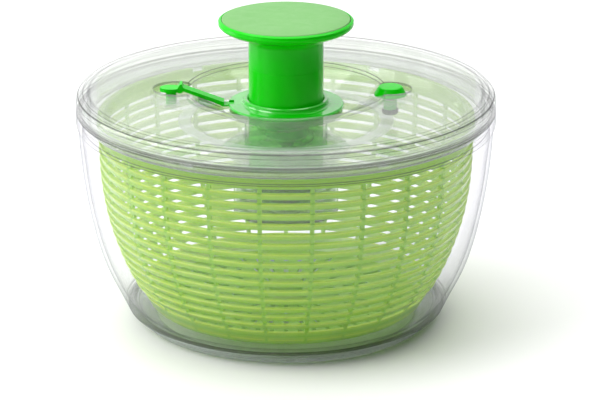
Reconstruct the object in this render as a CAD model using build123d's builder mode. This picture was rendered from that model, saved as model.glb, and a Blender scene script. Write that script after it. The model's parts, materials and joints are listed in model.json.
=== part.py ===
from build123d import *
from math import cos, sin, radians, pi, hypot, sqrt
import os

os.makedirs("parts", exist_ok=True)

# ---------------------------------------------------------------- dimensions
# Millimetres. +Z up, origin on the table at the centre of the base ring.
WALL = 2.2            # bowl and lid wall
CLEAR = 0.3           # gap between bodies that pass each other
STROKE = 39.0         # plunger travel
TURNS = 1.5           # turns of the spiral shaft over the stroke
LEAD = STROKE / TURNS

# bowl
BOWL_TOP = 138.5
BOWL_BEAD_R = 133.5
BOWL_OUT = [(102.5, 9.0), (103.7, 11.5), (107.4, 19.5), (113.5, 31.6), (120.9, 52.0),
            (125.6, 72.0), (129.0, 92.0), (131.2, 112.0), (132.2, 128.6)]
PIN_R = 4.0
PIN_TOP = 17.0

# basket
RIBS = 23
ROWS = 16
ROW_TOP = 121.3
PITCH = 6.6
SLOT_H = 2.7
RIB_W = 2.6
BASKET_OUT = [(80.0, 9.0), (85.5, 9.7), (88.4, 11.8), (90.4, 15.5), (95.0, 23.5), (99.6, 31.6),
              (103.5, 40.0), (106.8, 48.0), (109.6, 56.0), (112.2, 64.0), (114.2, 72.0),
              (115.7, 80.0), (117.0, 88.0), (117.9, 96.0), (118.5, 108.0), (119.0, 123.0)]
BASKET_TOP = 134.5
BASKET_RIM_R = 120.4

# lid
SEAT_Z = 139.6        # where the collar sits
LID_Z = 151.0         # flat top
DISH_R = 63.5
BUTTON_X = 66.3
BUTTON_TRAVEL = 3.0
LEVER_X = -69.5
LEVER_TRAVEL = 6.0

# plunger
BARREL_R = 23.8
BARREL_FOOT = 133.0
HEAD_Z = 184.5
KNOB_R = 42.8
POST_R = 13.5
POST_FOOT = 120.5

# pump housing
TUBE_IN = 24.1
TUBE_OUT = 25.4
TUBE_FLOOR = 91.0
NECK_IN = 14.0
NECK_OUT = 15.5
NECK_FLOOR = 76.0

# hub cup and drive disc
CUP_R = 33.6
CUP_FOOT = 68.0
SHOULDER_R = 40.6
SHOULDER_Z = 112.0
DISC_Z = 129.0
DISC_R = 122.6


def inset(points, t):
    """The open profile shifted by t to the left of its direction."""
    out = []
    for i, (r, z) in enumerate(points):
        a = points[max(i - 1, 0)]
        b = points[min(i + 1, len(points) - 1)]
        d = hypot(b[0] - a[0], b[1] - a[1])
        out.append((r - t * (b[1] - a[1]) / d, z + t * (b[0] - a[0]) / d))
    return out


def wall_r(z):
    """Outer radius of the basket's wall at height z."""
    for (r0, z0), (r1, z1) in zip(BASKET_OUT, BASKET_OUT[1:]):
        if z0 <= z <= z1:
            return r0 + (r1 - r0) * (z - z0) / (z1 - z0)
    return BASKET_OUT[-1][0]


# ---------------------------------------------------------------- bowl
bowl_in = inset(BOWL_OUT, WALL)
with BuildPart() as bowl:
    with BuildSketch(Plane.XZ):
        with BuildLine():
            Polyline((0, 3.0), (88.0, 3.0), (93.0, 4.2), (97.5, 9.0), (102.5, 9.0))
            Spline(*BOWL_OUT)
            Polyline((132.2, 128.6), (132.75, 128.95), (133.15, 129.45), (133.4, 130.05), (133.5, 130.8), (133.5, 137.5), (133.35, 138.05),
                     (133.0, 138.4), (132.5, 138.5), (130.5, 138.5), (129.9, 138.35), (129.6, 137.8), (129.6, 129.0), (bowl_in[-1][0] - 0.1, bowl_in[-2][1] + 8))
            Spline(*([(bowl_in[-1][0] - 0.1, bowl_in[-2][1] + 8)] + bowl_in[-2:1:-1] + [(101.2, 13.4)]))
            Polyline((101.2, 13.4), (97.0, 10.6), (93.0, 7.4), (88.0, 5.5), (PIN_R, 5.5),
                     (PIN_R, PIN_TOP - 1.0), (PIN_R - 1.0, PIN_TOP), (0, PIN_TOP), (0, 3.0))
        make_face()
    revolve(axis=Axis.Z)
bowl.part.label = "bowl"
export_step(bowl.part, "parts/bowl.step")

# non-slip ring under the bowl's corner, three grooves round its flank
flank_a, flank_b = (93.4, 0.5), (102.2, 8.4)
fl = hypot(flank_b[0] - flank_a[0], flank_b[1] - flank_a[1])
du = ((flank_b[0] - flank_a[0]) / fl, (flank_b[1] - flank_a[1]) / fl)
nu = (-du[1], du[0])
flank = [(92.6, 0.0), flank_a]
for s in (2.4, 5.4, 8.4):
    for ds, dn in ((0, 0), (0.15, 0.8), (0.95, 0.8), (1.1, 0)):
        flank.append((flank_a[0] + (s + ds) * du[0] + dn * nu[0], flank_a[1] + (s + ds) * du[1] + dn * nu[1]))
flank += [flank_b, (101.9, 8.9), (97.7, 8.9)]
with BuildPart() as base_ring:
    with BuildSketch(Plane.XZ):
        with BuildLine():
            Polyline(*(flank + [(93.1, 4.1), (88.0, 2.9), (84.0, 2.9), (84.0, 0.6), (84.6, 0.0), (92.6, 0.0)]))
        make_face()
    revolve(axis=Axis.Z)
base_ring.part.label = "base_ring"
export_step(base_ring.part, "parts/base_ring.step")

# ---------------------------------------------------------------- pivot bush and basket
with BuildPart() as pivot_bush:
    with BuildSketch(Plane.XZ):
        with BuildLine():
            Polyline((PIN_R + CLEAR, 6.0), (10.0, 6.0), (10.0, 7.4), (7.0, 7.4), (7.0, 18.2), (6.2, 19.0),
                     (0, 19.0), (0, PIN_TOP + CLEAR), (PIN_R - 0.8, PIN_TOP + CLEAR), (PIN_R + CLEAR, PIN_TOP - 0.8),
                     (PIN_R + CLEAR, 6.0))
        make_face()
    revolve(axis=Axis.Z)
pivot_bush.part.label = "pivot_bush"
export_step(pivot_bush.part, "parts/pivot_bush.step")

# one upright rib of the basket, on the +X side, following the wall inside the rings
rib_line = [(wall_r(z) - 0.5, z) for z in (15.0, 23.5, 31.6, 40.0, 48.0, 56.0, 64.0, 72.0, 80.0, 88.0, 96.0, 108.0, 124.5)]
with BuildPart() as basket_rib:
    with BuildSketch(Plane.XZ):
        with BuildLine():
            Polyline(*rib_line)
            Polyline(rib_line[-1], (rib_line[-1][0] - 1.7, 124.5))
            Polyline(*[(r - 1.7, z) for r, z in reversed(rib_line)])
            Polyline((rib_line[0][0] - 1.7, 15.0), rib_line[0])
        make_face()
    extrude(amount=RIB_W / 2, both=True)

with BuildPart() as basket:
    with BuildSketch(Plane.XZ):
        # floor with the hub, the rounded corner and the plain band above it
        with BuildLine():
            Polyline((7.3, 8.0), (13.0, 8.0), (14.0, 9.0), (80.0, 9.0), (85.5, 9.7), (88.4, 11.8), (90.4, 15.5),
                     (93.3, 20.6), (91.1, 20.6), (88.2, 15.6), (86.6, 13.0), (84.4, 11.6), (80.0, 11.0), (14.0, 11.0),
                     (11.0, 14.0), (10.4, 20.4), (9.4, 21.4), (0, 21.4), (0, 19.3), (7.3, 19.3), (7.3, 8.0))
        make_face()
        # the rings between the slots: a lip on the upper edge, tapering down
        for k in range(ROWS - 1):
            zc = ROW_TOP - PITCH * (k + 0.5)
            hh = (PITCH - SLOT_H) / 2
            rt, rb = wall_r(zc + hh), wall_r(zc - hh)
            with BuildLine():
                Polyline((rt - 2.0, zc + hh), (rt + 0.5, zc + hh), (rt + 0.8, zc + hh - 0.35), (rt + 0.75, zc + hh - 0.8),
                         (rb + 0.05, zc - hh + 0.1), (rb - 0.1, zc - hh), (rb - 1.8, zc - hh), (rt - 2.0, zc + hh))
            make_face()
        # plain band and rim
        with BuildLine():
            Polyline((117.0, 123.0), (119.5, 123.0), (119.4, 128.0), (120.4, 128.6), (120.4, 134.0), (119.9, 134.5),
                     (116.8, 134.5), (116.6, 134.0), (117.0, 123.0))
        make_face()
    revolve(axis=Axis.Z)
    with PolarLocations(0, RIBS, start_angle=-90 + 180 / RIBS):
        add(basket_rib.part)
    # drain slots in the floor
    with BuildSketch(Plane.XY.offset(8.0)):
        for rr, n, ln in ((27.0, 16, 16.0), (49.0, 32, 18.0), (70.0, 46, 14.0)):
            with PolarLocations(rr, n, start_angle=-90):
                SlotOverall(ln, 3.0)
    extrude(amount=4.0, mode=Mode.SUBTRACT)
    # notches in the rim for the disc's drive lugs
    with BuildSketch(Plane.XY.offset(131.3)):
        with PolarLocations(118.5, 6, start_angle=-60):
            Rectangle(8.0, 9.0)
    extrude(amount=5.0, mode=Mode.SUBTRACT)
basket.part.label = "basket"
export_step(basket.part, "parts/basket.step")

# ---------------------------------------------------------------- drive disc, cup and clutch crown
with BuildPart() as drive_disc:
    with BuildSketch(Plane.XZ):
        with BuildLine():
            Polyline((28.0, 118.4), (31.0, 117.9), (39.6, 113.4), (39.6, SHOULDER_Z), (41.6, SHOULDER_Z), (58.5, 127.4),
                     (DISC_Z - 69.0, 127.6), (111.0, 127.6), (113.5, 129.0), (115.2, 133.0), (116.2, 134.8), (DISC_R, 134.8),
                     (DISC_R + 0.2, 135.4), (DISC_R - 0.2, 136.5), (115.4, 136.8), (114.0, 135.6), (112.0, 131.2),
                     (110.0, 129.6), (59.8, 129.6), (57.6, 129.2), (41.4, 114.6), (40.6, 115.0), (31.6, 119.8), (28.0, 120.4),
                     (28.0, 118.4))
        make_face()
    revolve(axis=Axis.Z)
    with BuildSketch(Plane.XY.offset(132.2)):
        with PolarLocations(118.4, 6, start_angle=-60):
            Rectangle(3.2, 8.0)
    extrude(amount=2.7)
    # bosses for the cup's screws
    with BuildSketch(Plane.XY.offset(SHOULDER_Z)):
        with PolarLocations(37.0, 4, start_angle=45):
            Circle(2.3)
    extrude(amount=4.2)
    with BuildSketch(Plane.XY.offset(SHOULDER_Z - 1)):
        with PolarLocations(37.0, 4, start_angle=45):
            Circle(1.2)
    extrude(amount=4.0, mode=Mode.SUBTRACT)
drive_disc.part.label = "drive_disc"
export_step(drive_disc.part, "parts/drive_disc.step")

with BuildPart() as brake_track:
    with BuildSketch(Plane.XZ):
        with BuildLine():
            Polyline((60.6, 129.6), (68.8, 129.6), (68.8, 130.2), (68.2, 130.8), (61.2, 130.8), (60.6, 130.2), (60.6, 129.6))
        make_face()
    revolve(axis=Axis.Z)
brake_track.part.label = "brake_track"
export_step(brake_track.part, "parts/brake_track.step")

with BuildPart() as hub_cup:
    with BuildSketch(Plane.XZ):
        with BuildLine():
            Polyline((CUP_R - 1.8, 70.0), (CUP_R - 0.1, 70.0), (CUP_R, 71.0), (CUP_R, 108.4), (39.4, 109.4), (39.6, 110.0),
                     (39.6, SHOULDER_Z), (31.8, SHOULDER_Z), (31.8, 90.5), (NECK_OUT + 0.4, 90.5), (NECK_OUT + 0.4, 88.5),
                     (31.8, 88.5), (31.8, 70.0))
        make_face()
    revolve(axis=Axis.Z)
    with BuildSketch(Plane.XY.offset(105)):
        with PolarLocations(37.0, 4, start_angle=45):
            Circle(1.4)
    extrude(amount=8, mode=Mode.SUBTRACT)
hub_cup.part.label = "hub_cup"
export_step(hub_cup.part, "parts/hub_cup.step")

with BuildPart() as cup_screws:
    with BuildSketch(Plane.XY.offset(106.6)):
        with PolarLocations(37.0, 4, start_angle=45):
            Circle(2.2)
    extrude(amount=1.6)
    with BuildSketch(Plane.XY.offset(108.2)):
        with PolarLocations(37.0, 4, start_angle=45):
            Circle(1.15)
    extrude(amount=6.0)
    with BuildSketch(Plane.XY.offset(106.6)):
        with PolarLocations(37.0, 4, start_angle=45):
            Rectangle(2.4, 0.6)
            Rectangle(0.6, 2.4)
    extrude(amount=0.8, mode=Mode.SUBTRACT)
cup_screws.part.label = "cup_screws"
export_step(cup_screws.part, "parts/cup_screws.step")

with BuildPart() as cup_cap:
    with BuildSketch(Plane.XZ):
        with BuildLine():
            Polyline((0, 68.0), (31.2, 68.0), (33.0, 68.8), (33.6, 70.0), (31.75, 70.0), (31.75, 73.0), (30.2, 73.0),
                     (30.2, 70.0), (0, 70.0), (0, 68.0))
        make_face()
    revolve(axis=Axis.Z)
cup_cap.part.label = "cup_cap"
export_step(cup_cap.part, "parts/cup_cap.step")

with BuildPart() as clutch_crown:
    with BuildSketch(Plane.XZ):
        with BuildLine():
            Polyline((6.0, 70.0), (10.5, 70.0), (10.5, 71.0), (6.0, 71.0), (6.0, 70.0))
        make_face()
    revolve(axis=Axis.Z)
    with BuildSketch(Plane.XY.offset(71.0)):
        with PolarLocations(8.2, 12):
            Rectangle(3.6, 1.7)
    extrude(amount=1.0)
clutch_crown.part.label = "clutch_crown"
export_step(clutch_crown.part, "parts/clutch_crown.step")

# ---------------------------------------------------------------- spiral shaft and clutch wheel
shaft_angle0 = 360 * 78.9 / LEAD
with BuildSketch(Plane.XY.offset(78.9).rotated((0, 0, shaft_angle0))) as shaft_section:
    Rectangle(10.0, 4.4)
    fillet(shaft_section.vertices(), 0.6)
SHAFT_TOP = 131.4
twisted = Solid.extrude_linear_with_rotation(shaft_section.sketch.faces()[0], (0, 0, 78.9), (0, 0, SHAFT_TOP - 78.9),
                                             360 * (SHAFT_TOP - 78.9) / LEAD)
with BuildPart() as spiral_shaft:
    add(twisted)
    with BuildSketch(Plane.XZ):
        with BuildLine():
            Polyline((0, 71.2), (2.6, 71.2), (3.0, 71.6), (3.0, 75.4), (3.9, 75.4), (3.9, 78.35), (6.6, 78.35), (6.6, 79.2), (0, 79.2),
                     (0, 71.2))
        make_face()
    revolve(axis=Axis.Z)
spiral_shaft.part.label = "spiral_shaft"
export_step(spiral_shaft.part, "parts/spiral_shaft.step")

with BuildPart() as shaft_cap:
    with BuildSketch(Plane.XZ):
        with BuildLine():
            Polyline((0, SHAFT_TOP), (6.6, SHAFT_TOP), (6.6, SHAFT_TOP + 1.2), (5.8, SHAFT_TOP + 2.0), (3.0, SHAFT_TOP + 2.2),
                     (2.4, SHAFT_TOP + 3.4), (0, SHAFT_TOP + 3.6), (0, SHAFT_TOP))
        make_face()
    revolve(axis=Axis.Z)
shaft_cap.part.label = "shaft_cap"
export_step(shaft_cap.part, "parts/shaft_cap.step")

with BuildPart() as clutch_wheel:
    with BuildSketch(Plane.XZ):
        with BuildLine():
            Polyline((3.02, 73.5), (10.5, 73.5), (10.5, 75.0), (3.02, 75.0), (3.02, 73.5))
        make_face()
    revolve(axis=Axis.Z)
    with BuildSketch(Plane.XY.offset(72.5)):
        with PolarLocations(8.2, 12, start_angle=15):
            Rectangle(3.6, 1.7)
    extrude(amount=1.0)
clutch_wheel.part.label = "clutch_wheel"
export_step(clutch_wheel.part, "parts/clutch_wheel.step")

# ---------------------------------------------------------------- lid
LID_OUT = [(26.3, SEAT_Z), (40.0, SEAT_Z), (41.2, SEAT_Z + 0.15), (42.4, SEAT_Z + 0.7), (61.6, 149.95), (62.6, 150.36),
           (DISH_R, 150.66), (64.5, 150.87), (65.6, 150.98), (66.6, LID_Z),
           (126.6, LID_Z), (128.3, 150.87), (129.9, 150.45), (131.3, 149.7), (132.4, 148.65), (133.15, 147.35), (133.5, 145.9),
           (133.5, 139.6), (133.3, 139.0), (132.8, 138.8)]
with BuildPart() as lid_wells:
    # outer cups of the lever's well, its channel and the button's well
    with BuildSketch(Plane.XY.offset(141.3)):
        with Locations((LEVER_X, 0)):
            Circle(16.6)
        with Locations((BUTTON_X, 0)):
            Circle(15.2)
    extrude(amount=14)
    with BuildSketch(Plane.XZ):
        with BuildLine():
            Polyline((-58.0, 141.3), (-38.0, 137.6), (-38.0, 145.0), (-58.0, 155.0), (-58.0, 141.3))
        make_face()
    extrude(amount=7.0, both=True)
    with BuildSketch(Plane.XZ):
        with BuildLine():
            Polyline((0, 130), (100.0, 130), (100.0, LID_Z), *reversed(LID_OUT[1:10]), (0, SEAT_Z), (0, 130))
        make_face()
    revolve(axis=Axis.Z, mode=Mode.INTERSECT)

with BuildPart() as lid_cover:
    with BuildSketch(Plane.XZ):
        with BuildLine():
            Polyline(*LID_OUT)
            Polyline((132.8, 138.8), (131.4, 138.8), (131.3, 146.2), (130.4, 147.8), (129.0, 148.6), (126.6, 148.8),
                     (126.4, 132.0), (124.8, 132.0), (124.6, 148.8), (65.6, 148.8), (61.6, 147.4), (42.4, 137.8), (40.0, 137.4),
                     (26.3, 137.4), (26.3, SEAT_Z))
        make_face()
    revolve(axis=Axis.Z)
    add(lid_wells.part)
    # inside of the wells
    with BuildSketch(Plane.XY.offset(143.3)):
        with Locations((LEVER_X, 0)):
            Circle(15.0)
        with Locations((BUTTON_X, 0)):
            Circle(13.6)
    extrude(amount=20, mode=Mode.SUBTRACT)
    with BuildSketch(Plane.XZ):
        with BuildLine():
            Polyline((-57.0, 145.0), (-41.0, SEAT_Z), (-41.0, 160.0), (-57.0, 160.0), (-57.0, 145.0))
        make_face()
    extrude(amount=5.2, both=True, mode=Mode.SUBTRACT)
    # through holes: the lever's slot, the button's guide
    with BuildSketch(Plane.XY.offset(140)):
        with Locations((LEVER_X - 1.0, 0)):
            SlotOverall(14.0, 5.0)
        with Locations((BUTTON_X, 0)):
            Circle(4.6)
    extrude(amount=6, mode=Mode.SUBTRACT)
    # holes for the collar's bosses
    with BuildSketch(Plane.XY.offset(136)):
        with PolarLocations(31.6, 4, start_angle=45):
            Circle(3.2)
    extrude(amount=6, mode=Mode.SUBTRACT)
lid_cover.part.label = "lid_cover"
export_step(lid_cover.part, "parts/lid_cover.step")

with BuildPart() as lid_seal:
    with BuildSketch(Plane.XZ):
        with BuildLine():
            Polyline((126.5, 132.4), (128.0, 132.4), (128.4, 133.4), (129.2, 133.8), (129.2, 134.6), (128.2, 134.9), (128.2, 135.8),
                     (129.2, 136.1), (129.2, 136.9), (128.4, 137.4), (128.0, 139.4), (126.5, 139.4), (126.5, 132.4))
        make_face()
    revolve(axis=Axis.Z)
lid_seal.part.label = "lid_seal"
export_step(lid_seal.part, "parts/lid_seal.step")

with BuildPart() as collar:
    with BuildSketch(Plane.XZ):
        with BuildLine():
            Polyline((24.2, SEAT_Z), (36.3, SEAT_Z), (36.8, 140.1), (36.8, 141.0), (36.2, 141.6), (29.0, 141.9), (27.6, 142.3),
                     (27.2, 143.0), (27.2, 144.4), (26.6, 145.0), (25.0, 145.0), (24.2, 144.3), (24.2, SEAT_Z))
        make_face()
    revolve(axis=Axis.Z)
    with BuildSketch(Plane.XY.offset(137.4)):
        with PolarLocations(31.6, 4, start_angle=45):
            Circle(3.0)
    extrude(amount=3.0)
    with BuildSketch(Plane.XY.offset(137.0)):
        with PolarLocations(31.6, 4, start_angle=45):
            Circle(1.2)
    extrude(amount=3.4, mode=Mode.SUBTRACT)
    # groove under the flange for the lever's tongue
    with BuildSketch(Plane.XY.offset(SEAT_Z - 0.5)):
        with Locations((-31.0, 0)):
            Rectangle(16.0, 9.0)
    extrude(amount=1.9, mode=Mode.SUBTRACT)
    # open notch in the flange's edge that lets the lever's bar come forward
    with BuildSketch(Plane.XY.offset(SEAT_Z - 0.5)):
        with Locations((-36.5, 0)):
            Rectangle(7.0, 9.0)
    extrude(amount=4.0, mode=Mode.SUBTRACT)
collar.part.label = "collar"
export_step(collar.part, "parts/collar.step")

with BuildPart() as pump_housing:
    with BuildSketch(Plane.XZ):
        with BuildLine():
            Polyline((TUBE_OUT, 139.5), (TUBE_OUT, 137.3), (35.4, 137.3), (36.0, 136.7), (36.0, 135.7), (35.4, 135.1), (27.2, 135.1),
                     (TUBE_OUT, 133.4), (TUBE_OUT, TUBE_FLOOR + 0.8), (TUBE_OUT - 0.8, TUBE_FLOOR), (NECK_OUT, TUBE_FLOOR),
                     (NECK_OUT, 87.9), (NECK_OUT - 0.5, 87.9), (NECK_OUT - 0.5, 86.3), (NECK_OUT, 86.3),
                     (NECK_OUT, NECK_FLOOR + 0.6), (NECK_OUT - 0.6, NECK_FLOOR), (3.98, NECK_FLOOR), (3.98, 78.0), (NECK_IN, 78.0),
                     (NECK_IN, TUBE_FLOOR + 2.0), (TUBE_IN, TUBE_FLOOR + 2.0), (TUBE_IN, 139.5), (TUBE_OUT, 139.5))
        make_face()
    revolve(axis=Axis.Z)
    # paired outside ribs
    with BuildSketch(Plane.XY.offset(95.0)):
        for a in range(6):
            for d in (-5.2, 5.2):
                with PolarLocations(TUBE_OUT + 0.2, 1, start_angle=-90 + 27 + 60 * a + d):
                    Rectangle(1.6, 1.1)
    extrude(amount=40.5)
    with BuildSketch(Plane.XY.offset(134)):
        with PolarLocations(31.6, 4, start_angle=45):
            Circle(1.5)
    extrude(amount=5, mode=Mode.SUBTRACT)
pump_housing.part.label = "pump_housing"
export_step(pump_housing.part, "parts/pump_housing.step")

with BuildPart() as housing_screws:
    with BuildSketch(Plane.XY.offset(133.2)):
        with PolarLocations(31.6, 4, start_angle=45):
            Circle(2.6)
    extrude(amount=1.9)
    with BuildSketch(Plane.XY.offset(135.1)):
        with PolarLocations(31.6, 4, start_angle=45):
            Circle(1.15)
    extrude(amount=5.1)
    with BuildSketch(Plane.XY.offset(133.2)):
        with PolarLocations(31.6, 4, start_angle=45):
            Rectangle(3.0, 0.7)
            Rectangle(0.7, 3.0)
    extrude(amount=0.9, mode=Mode.SUBTRACT)
housing_screws.part.label = "housing_screws"
export_step(housing_screws.part, "parts/housing_screws.step")

with BuildPart() as thrust_washer:
    with BuildSketch(Plane.XY.offset(75.35)):
        Circle(9.0)
        Circle(4.3, mode=Mode.SUBTRACT)
    extrude(amount=0.6)
thrust_washer.part.label = "thrust_washer"
export_step(thrust_washer.part, "parts/thrust_washer.step")

with BuildPart() as retaining_clip:
    with BuildSketch(Plane.XY.offset(86.5)):
        Circle(18.4)
        Circle(15.02, mode=Mode.SUBTRACT)
        with Locations((16.6, 0)):
            Rectangle(8.0, 5.0, mode=Mode.SUBTRACT)
    extrude(amount=1.2)
retaining_clip.part.label = "retaining_clip"
export_step(retaining_clip.part, "parts/retaining_clip.step")

with BuildPart() as spring_seat:
    with BuildSketch(Plane.XZ):
        with BuildLine():
            Polyline((14.6, 93.0), (21.4, 93.0), (21.4, 93.9), (20.8, 93.9), (20.6, 93.5), (14.6, 93.5), (14.6, 93.0))
        make_face()
    revolve(axis=Axis.Z)
spring_seat.part.label = "spring_seat"
export_step(spring_seat.part, "parts/spring_seat.step")

# ---------------------------------------------------------------- plunger
with BuildPart() as knob_head:
    with BuildSketch(Plane.XZ):
        with BuildLine():
            Polyline((BARREL_R, 166.0), (BARREL_R, 182.0))
            Spline((BARREL_R, 182.0), (24.6, 184.2), (28.0, 186.4), (33.5, 188.3), (38.6, 190.0), (41.8, 191.9), (KNOB_R, 194.0),
                   (42.5, 195.3), (41.7, 196.3), tangents=((0, 1), (-1, 0.6)))
            Polyline((41.7, 196.3), (41.2, 196.5), (41.0, 196.2), (41.0, 193.6), (40.0, 192.9), (37.4, 192.2))
            Spline((37.4, 192.2), (33.0, 190.2), (27.0, 188.4), (23.0, 186.2))
            Polyline((23.0, 186.2), (POST_R, 186.2), (10.0, 188.0), (10.0, POST_FOOT), (POST_R, POST_FOOT), (POST_R, 184.0), (21.8, 184.0),
                     (21.8, 168.0), (21.8, 163.0), (22.6, 162.6), (22.6, 166.0), (BARREL_R, 166.0))
        make_face()
    revolve(axis=Axis.Z)
    # three pilot holes for the nut's screws
    with BuildSketch(Plane.XY.offset(POST_FOOT)):
        with PolarLocations(11.75, 3):
            Circle(0.7)
    extrude(amount=5, mode=Mode.SUBTRACT)
knob_head.part.label = "knob_head"
export_step(knob_head.part, "parts/knob_head.step")

with BuildPart() as knob_barrel:
    with BuildSketch(Plane.XZ):
        with BuildLine():
            Polyline((21.8, BARREL_FOOT), (23.2, BARREL_FOOT), (BARREL_R, BARREL_FOOT + 0.6), (BARREL_R, 165.8), (BARREL_R - 0.15, 165.95),
                     (22.7, 165.95), (22.7, 162.4), (21.8, 162.2), (21.8, BARREL_FOOT))
        make_face()
    revolve(axis=Axis.Z)
knob_barrel.part.label = "knob_barrel"
export_step(knob_barrel.part, "parts/knob_barrel.step")

with BuildPart() as knob_top_pad:
    with BuildSketch(Plane.XZ):
        with BuildLine():
            Polyline((0, 193.8), (40.8, 193.8), (40.8, 196.1))
            ThreePointArc((40.8, 196.1), (40.5, 196.7), (39.8, 196.95))
            Spline((39.8, 196.95), (22.0, 197.6), (0, 197.8), tangents=((-1, 0.12), (-1, 0)))
            Polyline((0, 197.8), (0, 193.8))
        make_face()
    revolve(axis=Axis.Z)
knob_top_pad.part.label = "knob_top_pad"
export_step(knob_top_pad.part, "parts/knob_top_pad.step")

NUT_LO, NUT_HI = 119.1, 131.0
with BuildSketch(Plane.XY.offset(NUT_LO - 0.5).rotated((0, 0, 360 * (NUT_LO - 0.5) / LEAD))) as bore_section:
    Rectangle(10.7, 5.1)
    fillet(bore_section.vertices(), 0.6)
nut_bore = Solid.extrude_linear_with_rotation(bore_section.sketch.faces()[0], (0, 0, NUT_LO - 0.5), (0, 0, NUT_HI - NUT_LO + 1.0),
                                              360 * (NUT_HI - NUT_LO + 1.0) / LEAD)
with BuildPart() as drive_nut:
    with BuildSketch(Plane.XZ):
        with BuildLine():
            Polyline((0, NUT_LO), (13.2, NUT_LO), (13.2, POST_FOOT - 0.02), (9.9, POST_FOOT - 0.02), (9.9, NUT_HI - 0.5), (9.4, NUT_HI),
                     (0, NUT_HI), (0, NUT_LO))
        make_face()
    revolve(axis=Axis.Z)
    with BuildSketch(Plane.XY.offset(NUT_LO - 1)):
        with PolarLocations(11.75, 3):
            Circle(0.75)
    extrude(amount=4, mode=Mode.SUBTRACT)
    add(nut_bore, mode=Mode.SUBTRACT)
drive_nut.part.label = "drive_nut"
export_step(drive_nut.part, "parts/drive_nut.step")

with BuildPart() as nut_screws:
    with BuildSketch(Plane.XY.offset(NUT_LO - 0.9)):
        with PolarLocations(11.75, 3):
            Circle(1.4)
    extrude(amount=0.9)
    with BuildSketch(Plane.XY.offset(NUT_LO)):
        with PolarLocations(11.75, 3):
            Circle(0.65)
    extrude(amount=5.2)
nut_screws.part.label = "nut_screws"
export_step(nut_screws.part, "parts/nut_screws.step")

# return spring round the post
SPRING_LO, SPRING_HI, SPRING_R, WIRE = 94.3, 183.1, 17.8, 0.75
with BuildPart() as return_spring:
    with BuildLine() as coil:
        Helix(pitch=(SPRING_HI - SPRING_LO) / 9, height=SPRING_HI - SPRING_LO, radius=SPRING_R, center=(0, 0, SPRING_LO))
    with BuildSketch(Plane(origin=coil.line @ 0, z_dir=coil.line % 0)):
        Circle(WIRE)
    sweep(path=coil.line, is_frenet=True)
return_spring.part.label = "return_spring"
export_step(return_spring.part, "parts/return_spring.step")

# ---------------------------------------------------------------- lock lever
with BuildPart() as lock_lever:
    with BuildSketch(Plane.XZ):
        # ramp up to the grip step, then the bar running down to the collar, with its hooked end
        with BuildLine():
            Polyline((-68.8, 148.6), (-68.8, 151.8), (-67.2, 154.4), (-66.0, 154.4), (-65.2, 152.2), (-41.2, 143.4), (-39.4, 142.9),
                     (-39.4, 140.8), (-36.8, 140.8), (-36.8, 139.9), (-41.0, 140.0), (-41.6, 140.9), (-65.2, 149.8), (-66.4, 148.6),
                     (-68.8, 148.6))
        make_face()
    extrude(amount=4.1, both=True)
    # thumb tab
    with BuildSketch(Plane.XY.offset(149.2)):
        with Locations((-73.2, 0)):
            Ellipse(7.0, 5.4)
        with Locations((-60.2, 0)):
            Rectangle(16.0, 14.0, mode=Mode.SUBTRACT)
    extrude(amount=2.3)
    # tongue in the collar's groove
    with BuildSketch(Plane.XY.offset(139.9)):
        with Locations((-34.6, 0)):
            Rectangle(9.0, 5.0)
    extrude(amount=0.9)
    # stem through the well's slot
    with BuildSketch(Plane.XY.offset(140.0)):
        with Locations((-73.0, 0)):
            SlotOverall(6.6, 4.0)
    extrude(amount=9.6)
lock_lever.part.label = "lock_lever"
export_step(lock_lever.part, "parts/lock_lever.step")

with BuildPart() as lever_clip:
    with BuildSketch(Plane.XY.offset(139.2)):
        with Locations((-73.0, 0)):
            RectangleRounded(11.0, 9.0, 1.5)
            SlotOverall(6.64, 4.04, mode=Mode.SUBTRACT)
    extrude(amount=1.5)
lever_clip.part.label = "lever_clip"
export_step(lever_clip.part, "parts/lever_clip.step")

# ---------------------------------------------------------------- brake
with BuildPart() as brake_button:
    with BuildSketch(Plane.XZ):
        with BuildLine():
            Polyline((BUTTON_X, 152.4), (BUTTON_X + 7.0, 152.2), (BUTTON_X + 7.7, 151.8), (BUTTON_X + 10.1, 147.6),
                     (BUTTON_X + 10.3, 146.6), (BUTTON_X + 8.6, 146.6), (BUTTON_X + 8.2, 147.4), (BUTTON_X + 6.8, 150.0),
                     (BUTTON_X + 4.2, 150.2), (BUTTON_X + 4.2, 136.2), (BUTTON_X, 136.2), (BUTTON_X, 152.4))
        make_face()
    revolve(axis=Axis((BUTTON_X, 0, 0), (0, 0, 1)))
brake_button.part.label = "brake_button"
export_step(brake_button.part, "parts/brake_button.step")

with BuildPart() as brake_pad:
    with BuildSketch(Plane.XZ):
        with BuildLine():
            Polyline((BUTTON_X, 134.2), (BUTTON_X + 4.4, 134.2), (BUTTON_X + 5.2, 134.9), (BUTTON_X + 5.2, 137.4), (BUTTON_X + 4.25, 137.4),
                     (BUTTON_X + 4.25, 136.2), (BUTTON_X, 136.2), (BUTTON_X, 134.2))
        make_face()
    revolve(axis=Axis((BUTTON_X, 0, 0), (0, 0, 1)))
brake_pad.part.label = "brake_pad"
export_step(brake_pad.part, "parts/brake_pad.step")

with BuildPart() as brake_spring:
    with BuildLine() as brake_coil:
        Helix(pitch=1.9, height=5.7, radius=5.5, center=(BUTTON_X, 0, 143.9))
    with BuildSketch(Plane(origin=brake_coil.line @ 0, z_dir=brake_coil.line % 0)):
        Circle(0.35)
    sweep(path=brake_coil.line, is_frenet=True)
brake_spring.part.label = "brake_spring"
export_step(brake_spring.part, "parts/brake_spring.step")
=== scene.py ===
import bpy, bmesh, json, math
from mathutils import Vector, Matrix


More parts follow.
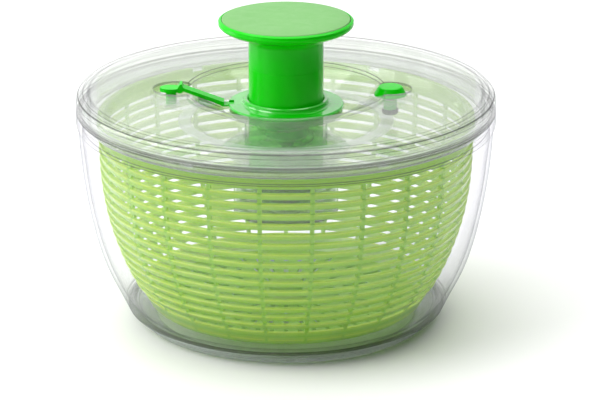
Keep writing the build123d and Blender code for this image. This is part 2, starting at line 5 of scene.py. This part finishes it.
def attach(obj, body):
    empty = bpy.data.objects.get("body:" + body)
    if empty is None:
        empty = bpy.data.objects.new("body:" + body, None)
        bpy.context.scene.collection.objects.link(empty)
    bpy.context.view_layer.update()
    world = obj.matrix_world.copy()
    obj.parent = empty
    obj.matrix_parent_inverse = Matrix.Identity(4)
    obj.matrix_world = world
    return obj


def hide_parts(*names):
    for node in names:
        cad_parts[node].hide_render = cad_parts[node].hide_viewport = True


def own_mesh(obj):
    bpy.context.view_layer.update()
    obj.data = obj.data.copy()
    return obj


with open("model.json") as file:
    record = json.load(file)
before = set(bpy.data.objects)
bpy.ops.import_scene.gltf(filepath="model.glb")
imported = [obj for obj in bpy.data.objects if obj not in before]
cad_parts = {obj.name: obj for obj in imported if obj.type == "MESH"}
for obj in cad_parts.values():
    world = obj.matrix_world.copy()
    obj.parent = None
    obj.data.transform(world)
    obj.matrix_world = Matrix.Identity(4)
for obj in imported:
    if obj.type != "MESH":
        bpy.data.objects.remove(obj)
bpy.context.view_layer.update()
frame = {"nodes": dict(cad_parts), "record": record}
N = frame["nodes"]
scene = bpy.context.scene
scene.view_settings.view_transform = "Standard"
scene.view_settings.look = "None"

# ------------------------------------------------------------------ camera
cam_data = bpy.data.cameras.new("cam")
cam = bpy.data.objects.new("cam", cam_data)
scene.collection.objects.link(cam)
cam.location = (0.0, -1.900, 0.725)
cam.rotation_euler = (math.radians(90 - 18.91), 0, 0)
cam_data.sensor_width = 36
cam_data.lens = 187.3
cam_data.shift_x = 14 / 600
cam_data.shift_y = 2.4 / 600
cam_data.clip_end = 50
scene.camera = cam
scene.cycles.transparent_max_bounces = 64
scene.cycles.max_bounces = 24


# ------------------------------------------------------------------ node helpers
def new_mat(name):
    m = bpy.data.materials.new(name)
    m.use_nodes = True
    nt = m.node_tree
    nt.nodes.clear()
    out = nt.nodes.new("ShaderNodeOutputMaterial")
    return m, nt, out


def node(nt, kind, **kw):
    n = nt.nodes.new(kind)
    for k, v in kw.items():
        setattr(n, k, v)
    return n


def link(nt, a, b):
    nt.links.new(a, b)


def coords(nt):
    return node(nt, "ShaderNodeTexCoord").outputs["Object"]


def noise(nt, scale, detail=4.0, rough=0.5, dist=0.0, vec=None):
    n = node(nt, "ShaderNodeTexNoise")
    n.inputs["Scale"].default_value = scale
    n.inputs["Detail"].default_value = detail
    n.inputs["Roughness"].default_value = rough
    n.inputs["Distortion"].default_value = dist
    link(nt, vec if vec is not None else coords(nt), n.inputs["Vector"])
    return n.outputs["Fac"]


def ramp(nt, fac, stops):
    r = node(nt, "ShaderNodeValToRGB")
    cr = r.color_ramp
    while len(cr.elements) < len(stops):
        cr.elements.new(0.5)
    for e, (p, c) in zip(cr.elements, stops):
        e.position = p
        e.color = (c, c, c, 1) if isinstance(c, (int, float)) else (*c, 1)
    link(nt, fac, r.inputs["Fac"])
    return r.outputs["Color"]


def maprange(nt, fac, a, b, lo=0.0, hi=1.0):
    m = node(nt, "ShaderNodeMapRange")
    m.inputs["From Min"].default_value = lo
    m.inputs["From Max"].default_value = hi
    m.inputs["To Min"].default_value = a
    m.inputs["To Max"].default_value = b
    link(nt, fac, m.inputs["Value"])
    return m.outputs["Result"]


def mirror_share(nt, scale=1.0, top=0.32):
    """Mirror share by angle for a clear plastic skin, the same from both sides of a wall."""
    lw = node(nt, "ShaderNodeLayerWeight")
    lw.inputs["Blend"].default_value = 0.5
    return ramp(nt, lw.outputs["Facing"], [(0.0, 0.04 * scale), (0.4, 0.055 * scale), (0.674, 0.17 * scale), (0.85, top * scale), (1.0, top * scale)])


def bump(nt, height, strength, distance):
    b = node(nt, "ShaderNodeBump")
    b.inputs["Strength"].default_value = strength
    b.inputs["Distance"].default_value = distance
    link(nt, height, b.inputs["Height"])
    return b.outputs["Normal"]


def scratches(nt, scale=300.0, stretch=(1, 1, 12)):
    mp = node(nt, "ShaderNodeMapping")
    mp.inputs["Scale"].default_value = stretch
    link(nt, coords(nt), mp.inputs["Vector"])
    return noise(nt, scale, 3.0, 0.6, 0.6, mp.outputs["Vector"])


def painted_shade_lines(nt, tint, lines):
    """Painted shade: thin darker lines painted into the see-through tint where a clear wall ends or turns a sharp
    corner and light is trapped: each is (kind, place, width, strength, least radius, least height), in metres.
    """
    xyz = node(nt, "ShaderNodeSeparateXYZ")
    link(nt, coords(nt), xyz.inputs[0])
    flat = node(nt, "ShaderNodeCombineXYZ")
    link(nt, xyz.outputs["X"], flat.inputs["X"])
    link(nt, xyz.outputs["Y"], flat.inputs["Y"])
    ln = node(nt, "ShaderNodeVectorMath", operation="LENGTH")
    link(nt, flat.outputs[0], ln.inputs[0])
    r, z = ln.outputs["Value"], xyz.outputs["Z"]
    keep = None
    for kind, place, width, strength, r_min, z_min in lines:
        value = {"r": r, "z": z}.get(kind)
        if kind == "well":
            # a circle round a point on the X axis: place is (x, radius)
            mv = node(nt, "ShaderNodeVectorMath", operation="SUBTRACT")
            link(nt, flat.outputs[0], mv.inputs[0])
            mv.inputs[1].default_value = (place[0], 0, 0)
            wl = node(nt, "ShaderNodeVectorMath", operation="LENGTH")
            link(nt, mv.outputs[0], wl.inputs[0])
            value, place = wl.outputs["Value"], place[1]
        elif kind == "side":
            # both sides of a straight channel along X: place is (y, x0, x1)
            ay = node(nt, "ShaderNodeMath", operation="ABSOLUTE")
            link(nt, xyz.outputs["Y"], ay.inputs[0])
            span = (place[1], place[2])
            value, place = ay.outputs[0], place[0]
        d = node(nt, "ShaderNodeMath", operation="SUBTRACT")
        link(nt, value, d.inputs[0])
        d.inputs[1].default_value = place
        ab = node(nt, "ShaderNodeMath", operation="ABSOLUTE")
        link(nt, d.outputs[0], ab.inputs[0])
        mask = maprange(nt, ab.outputs[0], strength, 0.0, width * 0.35, width)
        if kind == "side":
            for a_, b_, at in ((0.0, 1.0, span[0]), (1.0, 0.0, span[1])):
                g = node(nt, "ShaderNodeMath", operation="MULTIPLY")
                link(nt, mask, g.inputs[0])
                link(nt, maprange(nt, xyz.outputs["X"], a_, b_, at - 0.0003, at + 0.0003), g.inputs[1])
                mask = g.outputs[0]
        for value, least in ((r, r_min), (z, z_min)):
            if least:
                g = node(nt, "ShaderNodeMath", operation="MULTIPLY")
                link(nt, mask, g.inputs[0])
                link(nt, maprange(nt, value, 0.0, 1.0, least - 0.0003, least), g.inputs[1])
                mask = g.outputs[0]
        inv = node(nt, "ShaderNodeMath", operation="SUBTRACT")
        inv.inputs[0].default_value = 1.0
        link(nt, mask, inv.inputs[1])
        if keep is None:
            keep = inv.outputs[0]
        else:
            k = node(nt, "ShaderNodeMath", operation="MULTIPLY")
            link(nt, keep, k.inputs[0])
            link(nt, inv.outputs[0], k.inputs[1])
            keep = k.outputs[0]
    sc = node(nt, "ShaderNodeVectorMath", operation="SCALE")
    link(nt, tint, sc.inputs[0])
    link(nt, keep, sc.inputs["Scale"])
    return sc.outputs[0]


def solid_plastic(name, light, dark, rough=(0.12, 0.2), coat=0.0, bump_d=0.00004, grain=900.0, sss=0.0, spec=0.5):
    """Opaque moulded plastic: slight colour drift, fine handling marks, faint orange peel."""
    m, nt, out = new_mat(name)
    p = node(nt, "ShaderNodeBsdfPrincipled")
    drift = noise(nt, 18.0, 3.0)
    mix = node(nt, "ShaderNodeMix", data_type="RGBA")
    mix.inputs["A"].default_value = (*dark, 1)
    mix.inputs["B"].default_value = (*light, 1)
    link(nt, maprange(nt, drift, 0.0, 1.0, 0.3, 0.7), mix.inputs["Factor"])
    link(nt, mix.outputs["Result"], p.inputs["Base Color"])
    marks = scratches(nt, 120.0)
    link(nt, maprange(nt, marks, rough[0], rough[1], 0.35, 0.7), p.inputs["Roughness"])
    peel = noise(nt, grain, 2.0)
    link(nt, bump(nt, peel, 0.25, bump_d), p.inputs["Normal"])
    p.inputs["IOR"].default_value = 1.5
    p.inputs["Specular IOR Level"].default_value = spec
    p.inputs["Coat Weight"].default_value = coat
    p.inputs["Coat Roughness"].default_value = 0.06
    if sss:
        p.inputs["Subsurface Weight"].default_value = sss
        p.inputs["Subsurface Scale"].default_value = 0.004
        p.inputs["Subsurface Radius"].default_value = (0.4, 1.0, 0.2)
    link(nt, p.outputs["BSDF"], out.inputs["Surface"])
    return m


def clear_plastic(name, through, edge, haze, haze_colour, rough=(0.03, 0.07), edge_power=(0.8, 0.94), mirror=1.0, dark=0.4, side=0.97, marks_scale=60.0, lines=()):
    """Thin clear plastic: what is behind shows unbent and tinted, more so where the wall is seen edge-on; a little haze; glossy by Fresnel."""
    m, nt, out = new_mat(name)
    lw = node(nt, "ShaderNodeLayerWeight")
    lw.inputs["Blend"].default_value = 0.5
    tint = ramp(nt, lw.outputs["Facing"], [(0.0, through), (0.6, through), (edge_power[0], tuple(c * side for c in through)), (edge_power[1], edge), (1.0, tuple(c * dark for c in edge))])
    # painted shade: the given lines darken the see-through tint along rims and corners
    if lines:
        tint = painted_shade_lines(nt, tint, lines)
    tr = node(nt, "ShaderNodeBsdfTransparent")
    link(nt, tint, tr.inputs["Color"])
    df = node(nt, "ShaderNodeBsdfDiffuse")
    df.inputs["Color"].default_value = (*haze_colour, 1)
    tl = node(nt, "ShaderNodeBsdfTranslucent")
    tl.inputs["Color"].default_value = (*haze_colour, 1)
    both = node(nt, "ShaderNodeMixShader")
    both.inputs[0].default_value = 0.5
    link(nt, df.outputs[0], both.inputs[1])
    link(nt, tl.outputs[0], both.inputs[2])
    cloud = noise(nt, marks_scale, 4.0, 0.55)
    hz = node(nt, "ShaderNodeMixShader")
    link(nt, maprange(nt, cloud, haze * 0.7, haze * 1.3, 0.3, 0.7), hz.inputs[0])
    link(nt, tr.outputs[0], hz.inputs[1])
    link(nt, both.outputs[0], hz.inputs[2])
    gl = node(nt, "ShaderNodeBsdfGlossy")
    gl.inputs["Color"].default_value = (1, 1, 1, 1)
    link(nt, maprange(nt, scratches(nt, 90.0), rough[0], rough[1], 0.35, 0.7), gl.inputs["Roughness"])
    wave = noise(nt, 22.0, 2.0)
    link(nt, bump(nt, wave, 0.12, 0.0006), gl.inputs["Normal"])
    mx = node(nt, "ShaderNodeMixShader")
    link(nt, mirror_share(nt, mirror), mx.inputs[0])
    link(nt, hz.outputs[0], mx.inputs[1])
    link(nt, gl.outputs[0], mx.inputs[2])
    link(nt, mx.outputs[0], out.inputs["Surface"])
    return m


def slat_thickness_and_painted_shade(nt):
    """0 where the basket's wall is thin, up to 1 where it is thick or painted as shaded: the ribs, the plain bands and
    the foot of each ring are thicker, and each ring's darkening down from its top to its foot is also painted shade
    under the slat.
    """
    xyz = node(nt, "ShaderNodeSeparateXYZ")
    link(nt, coords(nt), xyz.inputs[0])
    t = node(nt, "ShaderNodeMath", operation="MULTIPLY_ADD")
    link(nt, xyz.outputs["Z"], t.inputs[0])
    t.inputs[1].default_value = -1 / 0.0066
    t.inputs[2].default_value = 0.1213 / 0.0066
    fr = node(nt, "ShaderNodeMath", operation="FRACT")
    link(nt, t.outputs[0], fr.inputs[0])
    # painted shade: each ring is left lightest near its top edge and darkened down to its foot
    rings = ramp(nt, fr.outputs[0], [(0.0, 0.6), (0.19, 0.5), (0.225, 0.0), (0.31, 0.05), (0.37, 0.5), (0.60, 0.72), (0.84, 1.0), (1.0, 0.6)])
    an = node(nt, "ShaderNodeMath", operation="ARCTAN2")
    link(nt, xyz.outputs["Y"], an.inputs[0])
    link(nt, xyz.outputs["X"], an.inputs[1])
    turn = node(nt, "ShaderNodeMath", operation="MULTIPLY_ADD")
    link(nt, an.outputs[0], turn.inputs[0])
    turn.inputs[1].default_value = 23 / (2 * math.pi)
    turn.inputs[2].default_value = 23 * 0.25 + 100.0
    fa = node(nt, "ShaderNodeMath", operation="FRACT")
    link(nt, turn.outputs[0], fa.inputs[0])
    off = node(nt, "ShaderNodeMath", operation="SUBTRACT")
    link(nt, fa.outputs[0], off.inputs[0])
    off.inputs[1].default_value = 0.5
    ab = node(nt, "ShaderNodeMath", operation="ABSOLUTE")
    link(nt, off.outputs[0], ab.inputs[0])
    ribs = maprange(nt, ab.outputs[0], 0.80, 0.0, 0.030, 0.055)
    top = maprange(nt, xyz.outputs["Z"], 0.0, 0.7, 0.1215, 0.1225)
    a = node(nt, "ShaderNodeMath", operation="MAXIMUM")
    link(nt, rings, a.inputs[0])
    link(nt, ribs, a.inputs[1])
    b = node(nt, "ShaderNodeMath", operation="MAXIMUM")
    link(nt, a.outputs[0], b.inputs[0])
    link(nt, top, b.inputs[1])
    return b.outputs[0]


def tone(nt, colour, shade, deep):
    """The colour, multiplied towards deep by shade."""
    m = node(nt, "ShaderNodeMix", data_type="RGBA", blend_type="MULTIPLY")
    link(nt, shade, m.inputs["Factor"])
    link(nt, colour, m.inputs["A"])
    m.inputs["B"].default_value = (*deep, 1)
    return m.outputs["Result"]


def inner_side(nt):
    """1 on surfaces that face the axis, 0 on the rest."""
    flat = node(nt, "ShaderNodeVectorMath", operation="MULTIPLY")
    link(nt, coords(nt), flat.inputs[0])
    flat.inputs[1].default_value = (1, 1, 0)
    radial = node(nt, "ShaderNodeVectorMath", operation="NORMALIZE")
    link(nt, flat.outputs[0], radial.inputs[0])
    tc = node(nt, "ShaderNodeTexCoord")
    dot = node(nt, "ShaderNodeVectorMath", operation="DOT_PRODUCT")
    link(nt, radial.outputs[0], dot.inputs[0])
    link(nt, tc.outputs["Normal"], dot.inputs[1])
    return maprange(nt, dot.outputs["Value"], 1.0, 0.0, -0.6, -0.2)


def pale(nt, colour, share, towards, most):
    """The colour, mixed towards a paler one by share."""
    m = node(nt, "ShaderNodeMix", data_type="RGBA")
    amount = node(nt, "ShaderNodeMath", operation="MULTIPLY")
    link(nt, share, amount.inputs[0])
    amount.inputs[1].default_value = most
    link(nt, amount.outputs[0], m.inputs["Factor"])
    link(nt, colour, m.inputs["A"])
    m.inputs["B"].default_value = (*towards, 1)
    return m.outputs["Result"]


def tinted_plastic(name, colour_a, colour_b, glow, through, open_share, rough=(0.16, 0.26), translucent=0.5):
    """Coloured see-through plastic: part transparent, part diffuse and translucent, with a glossy skin; painted shade
    on the slats and painted light on the faces towards the axis.
    """
    m, nt, out = new_mat(name)
    drift = noise(nt, 14.0, 3.0)
    mix = node(nt, "ShaderNodeMix", data_type="RGBA")
    mix.inputs["A"].default_value = (*colour_a, 1)
    mix.inputs["B"].default_value = (*colour_b, 1)
    link(nt, maprange(nt, drift, 0.0, 1.0, 0.3, 0.7), mix.inputs["Factor"])
    shade = slat_thickness_and_painted_shade(nt)
    # painted light: faces towards the axis are painted paler, as if lit inside the basket
    painted_light_inside = inner_side(nt)
    df = node(nt, "ShaderNodeBsdfDiffuse")
    link(nt, pale(nt, tone(nt, mix.outputs["Result"], shade, (0.46, 0.74, 0.20)), painted_light_inside, (0.92, 0.98, 0.74), 0.65), df.inputs["Color"])
    tl = node(nt, "ShaderNodeBsdfTranslucent")
    base = node(nt, "ShaderNodeRGB")
    base.outputs[0].default_value = (*glow, 1)
    link(nt, pale(nt, tone(nt, base.outputs[0], shade, (0.44, 0.72, 0.18)), painted_light_inside, (0.92, 0.98, 0.70), 0.40), tl.inputs["Color"])
    body = node(nt, "ShaderNodeMixShader")
    body.inputs[0].default_value = translucent
    link(nt, df.outputs[0], body.inputs[1])
    link(nt, tl.outputs[0], body.inputs[2])
    tr = node(nt, "ShaderNodeBsdfTransparent")
    tr.inputs["Color"].default_value = (*through, 1)
    op = node(nt, "ShaderNodeMixShader")
    lw = node(nt, "ShaderNodeLayerWeight")
    lw.inputs["Blend"].default_value = 0.3
    link(nt, maprange(nt, lw.outputs["Facing"], 1 - open_share, 1 - open_share * 0.45), op.inputs[0])
    link(nt, tr.outputs[0], op.inputs[1])
    link(nt, body.outputs[0], op.inputs[2])
    gl = node(nt, "ShaderNodeBsdfGlossy")
    gl.inputs["Color"].default_value = (1, 1, 1, 1)
    link(nt, maprange(nt, scratches(nt, 100.0), rough[0], rough[1], 0.35, 0.7), gl.inputs["Roughness"])
    link(nt, bump(nt, noise(nt, 700.0, 2.0), 0.2, 0.00004), gl.inputs["Normal"])
    mx = node(nt, "ShaderNodeMixShader")
    link(nt, mirror_share(nt, 1.0, 0.4), mx.inputs[0])
    link(nt, op.outputs[0], mx.inputs[1])
    link(nt, gl.outputs[0], mx.inputs[2])
    link(nt, mx.outputs[0], out.inputs["Surface"])
    return m


def metal(name, colour, rough=(0.22, 0.38)):
    m, nt, out = new_mat(name)
    p = node(nt, "ShaderNodeBsdfPrincipled")
    p.inputs["Base Color"].default_value = (*colour, 1)
    p.inputs["Metallic"].default_value = 1.0
    s = scratches(nt, 400.0, (1, 1, 6))
    link(nt, maprange(nt, s, rough[0], rough[1], 0.3, 0.7), p.inputs["Roughness"])
    link(nt, bump(nt, s, 0.2, 0.00003), p.inputs["Normal"])
    link(nt, p.outputs["BSDF"], out.inputs["Surface"])
    return m


def srgb(r, g, b):
    return tuple(((c / 255) / 12.92) if c / 255 <= 0.04045 else (((c / 255) + 0.055) / 1.055) ** 2.4 for c in (r, g, b))


M = {
    "green_gloss": solid_plastic("green_gloss", (0.003, 0.60, 0.001), (0.002, 0.54, 0.001), (0.16, 0.24), coat=0.0, sss=0.04, spec=0.2),
    "green_soft": solid_plastic("green_soft", srgb(117, 173, 103), srgb(111, 167, 97), (0.5, 0.66), 0.0, 0.00012, 1600.0, spec=0.3),
    "white_plastic": solid_plastic("white_plastic", (0.82, 0.83, 0.80), (0.76, 0.77, 0.74), (0.35, 0.5)),
    "shaft_plastic": solid_plastic("shaft_plastic", (0.03, 0.24, 0.02), (0.02, 0.2, 0.015), (0.25, 0.35)),
    "brake_rubber": solid_plastic("brake_rubber", (0.03, 0.032, 0.03), (0.02, 0.022, 0.02), (0.7, 0.85)),
    "steel": metal("steel", (0.62, 0.62, 0.63)),
    # the lines lists below are painted shade along the rims, corners and well edges of the clear parts
    "clear_plastic": clear_plastic("clear_plastic", (0.955, 0.953, 0.965), (0.66, 0.66, 0.70), 0.010, (0.9, 0.92, 0.95), mirror=0.6, side=0.955, lines=[
        ("z", 0.1383, 0.0006, 0.55, 0.1290, 0), ("z", 0.1296, 0.0006, 0.50, 0.1290, 0), ("z", 0.1360, 0.0003, 0.30, 0.1325, 0), ("z", 0.1335, 0.0045, 0.10, 0.1325, 0),
        ("z", 0.0110, 0.0010, 0.40, 0.0950, 0), ("z", 0.0092, 0.0006, 0.45, 0.0950, 0)]),
    "lid_plastic": clear_plastic("lid_plastic", (0.985, 0.989, 0.985), (0.66, 0.67, 0.69), 0.065, (0.93, 0.95, 0.93), mirror=0.8, lines=[
        ("z", 0.1401, 0.0006, 0.72, 0.1310, 0), ("z", 0.1488, 0.0005, 0.80, 0.1305, 0), ("z", 0.1464, 0.0003, 0.50, 0.1320, 0), ("z", 0.1428, 0.0003, 0.50, 0.1320, 0), ("r", 0.1290, 0.0004, 0.45, 0, 0.1470),
        ("r", 0.0636, 0.0006, 0.65, 0, 0.1480), ("well", (-0.0695, 0.0150), 0.0006, 0.50, 0, 0.1497), ("well", (0.0663, 0.0136), 0.0006, 0.50, 0, 0.1497), ("side", (0.0054, -0.0560, -0.0400), 0.0007, 0.65, 0, 0.1385), ("z", 0.1320, 0.0008, 0.55, 0.1240, 0), ("r", 0.1254, 0.0012, 0.25, 0, 0.1470)]),
    "disc_plastic": clear_plastic("disc_plastic", (0.97, 0.985, 0.97), (0.66, 0.70, 0.66), 0.07, (0.93, 0.95, 0.91), lines=[
        ("z", 0.1360, 0.0012, 0.15, 0.1150, 0), ("r", 0.0590, 0.0006, 0.20, 0, 0.1260)]),
    "cup_plastic": clear_plastic("cup_plastic", (0.88, 0.93, 0.86), (0.50, 0.60, 0.48), 0.10, (0.78, 0.90, 0.74), lines=[
        ("z", 0.0895, 0.0012, 0.35, 0, 0), ("z", 0.0702, 0.0010, 0.45, 0, 0), ("z", 0.1118, 0.0010, 0.45, 0, 0)]),
    "frosted_plastic": clear_plastic("frosted_plastic", (0.95, 0.95, 0.97), (0.8, 0.8, 0.84), 0.3, (0.86, 0.86, 0.92), (0.3, 0.45)),
    "seal": clear_plastic("seal", (0.95, 0.955, 0.955), (0.65, 0.67, 0.68), 0.12, (0.85, 0.87, 0.87), (0.3, 0.4)),
    "grip_ring": clear_plastic("grip_ring", (0.87, 0.89, 0.89), (0.45, 0.48, 0.47), 0.15, (0.60, 0.64, 0.62), (0.35, 0.5)),
    "basket_green": tinted_plastic("basket_green", (0.78, 0.95, 0.06), (0.72, 0.91, 0.05), (0.92, 1.0, 0.08), (0.66, 0.82, 0.10), 0.20),
    "housing_green": clear_plastic("housing_green", (0.60, 0.82, 0.50), (0.36, 0.54, 0.26), 0.02, (0.30, 0.70, 0.20), mirror=0.7, lines=[
        ("z", 0.1351, 0.0006, 0.4, 0.026, 0), ("z", 0.0912, 0.0010, 0.4, 0, 0)]),
}
collar_green = solid_plastic("collar_green", (0.003, 0.60, 0.001), (0.002, 0.54, 0.001), (0.12, 0.2), coat=1.0, sss=0.04, spec=0.6)
slot_of = {s["node"]: s["material_slot"] for s in frame["record"]["subparts"]}
for name, ob in N.items():
    ob.data.materials.clear()
    ob.data.materials.append(M[slot_of[name]])
N["collar"].data.materials.clear()
N["collar"].data.materials.append(collar_green)

# ------------------------------------------------------------------ floor, light
bm = bmesh.new()
bmesh.ops.create_grid(bm, x_segments=24, y_segments=24, size=6.0)
me = bpy.data.meshes.new("floor")
bm.to_mesh(me)
bm.free()
floor = bpy.data.objects.new("floor", me)
scene.collection.objects.link(floor)
fm, fnt, fout = new_mat("floor_paper")
fp = node(fnt, "ShaderNodeBsdfPrincipled")
link(fnt, ramp(fnt, noise(fnt, 3.0), [(0.0, 0.90), (1.0, 0.93)]), fp.inputs["Base Color"])
fp.inputs["Roughness"].default_value = 0.55
fp.inputs["Specular IOR Level"].default_value = 0.2
link(fnt, fp.outputs[0], fout.inputs["Surface"])
me.materials.append(fm)

world = bpy.data.worlds.new("world")
scene.world = world
world.use_nodes = True
# studio surround: bright overhead and to the left, dim to the right
wnt = world.node_tree
wx = node(wnt, "ShaderNodeSeparateXYZ")
link(wnt, node(wnt, "ShaderNodeTexCoord").outputs["Generated"], wx.inputs[0])
wa = node(wnt, "ShaderNodeMath", operation="MULTIPLY_ADD")
link(wnt, wx.outputs["X"], wa.inputs[0])
wa.inputs[1].default_value = -0.55
wa.inputs[2].default_value = 0.26
wb = node(wnt, "ShaderNodeMath", operation="MULTIPLY_ADD")
link(wnt, wx.outputs["Z"], wb.inputs[0])
wb.inputs[1].default_value = 0.6
link(wnt, wa.outputs[0], wb.inputs[2])
wc = node(wnt, "ShaderNodeMath", operation="MULTIPLY_ADD")
link(wnt, wx.outputs["Y"], wc.inputs[0])
wc.inputs[1].default_value = 0.50
link(wnt, wb.outputs[0], wc.inputs[2])
wbg = wnt.nodes["Background"]
link(wnt, maprange(wnt, wc.outputs[0], 0.06, 1.05), wbg.inputs["Strength"])
wbg.inputs["Color"].default_value = (1.0, 1.0, 1.0, 1)


def area(name, loc, target, size, size_y, power, colour=(1, 1, 1)):
    d = bpy.data.lights.new(name, "AREA")
    d.shape = "RECTANGLE"
    d.size, d.size_y = size, size_y
    d.energy = power
    d.color = colour
    o = bpy.data.objects.new(name, d)
    scene.collection.objects.link(o)
    o.location = loc
    o.rotation_euler = (Vector(target) - Vector(loc)).to_track_quat("-Z", "Y").to_euler()
    return o


area("key", (-1.15, -0.55, 1.05), (0, 0, 0.1), 0.9, 1.1, 14)
area("top", (0.15, 0.25, 1.8), (0.1, 0, 0.05), 2.2, 1.8, 26)
area("side", (-1.25, 0.30, 0.45), (0, 0, 0.1), 0.5, 0.8, 4)


# ------------------------------------------------------------------ springs, turn by turn
def coil(name, radius, wire, z0, z1, turns, dead, centre=(0.0, 0.0), steps=72, sides=14):
    """A compression spring: `dead` closed turns at each end, the rest evenly open; round wire, ends ground flat."""
    bm = bmesh.new()
    total = turns + 2 * dead
    n = int(total * steps)
    rings = []
    lift = 2 * wire * 1.04
    free = (z1 - z0) - 2 * wire - 2 * dead * lift
    for i in range(n + 1):
        t = total * i / n
        if t < dead:
            z = t * lift
        elif t > total - dead:
            z = (z1 - z0) - 2 * wire - (total - t) * lift
        else:
            z = dead * lift + free * (t - dead) / turns
        z += z0 + wire
        a = 2 * math.pi * t
        c = Vector((centre[0] + radius * math.cos(a), centre[1] + radius * math.sin(a), z))
        out = Vector((math.cos(a), math.sin(a), 0))
        w = wire * min(1.0, 0.45 + 3.0 * min(t, total - t))
        rings.append([bm.verts.new(c + out * w * math.cos(b) + Vector((0, 0, w * math.sin(b))))
                      for b in (2 * math.pi * k / sides for k in range(sides))])
    for r0, r1 in zip(rings, rings[1:]):
        for k in range(sides):
            bm.faces.new((r0[k], r0[(k + 1) % sides], r1[(k + 1) % sides], r1[k]))
    bm.faces.new(rings[0])
    bm.faces.new(list(reversed(rings[-1])))
    bmesh.ops.recalc_face_normals(bm, faces=bm.faces)
    for f in bm.faces:
        f.smooth = len(f.verts) == 4
    me = bpy.data.meshes.new(name)
    bm.to_mesh(me)
    bm.free()
    ob = bpy.data.objects.new(name, me)
    scene.collection.objects.link(ob)
    me.materials.append(M["steel"])
    return ob


spring = coil("return_spring_coil", 0.0178, 0.00075, 0.0943, 0.1831, 7.5, 1.0)
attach(spring, "lid")
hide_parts("return_spring")
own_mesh(spring)
bspring = coil("brake_spring_coil", 0.0055, 0.00035, 0.1436, 0.1499, 3.0, 0.8, (0.0663, 0.0), 48, 10)
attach(bspring, "lid")
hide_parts("brake_spring")
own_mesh(bspring)
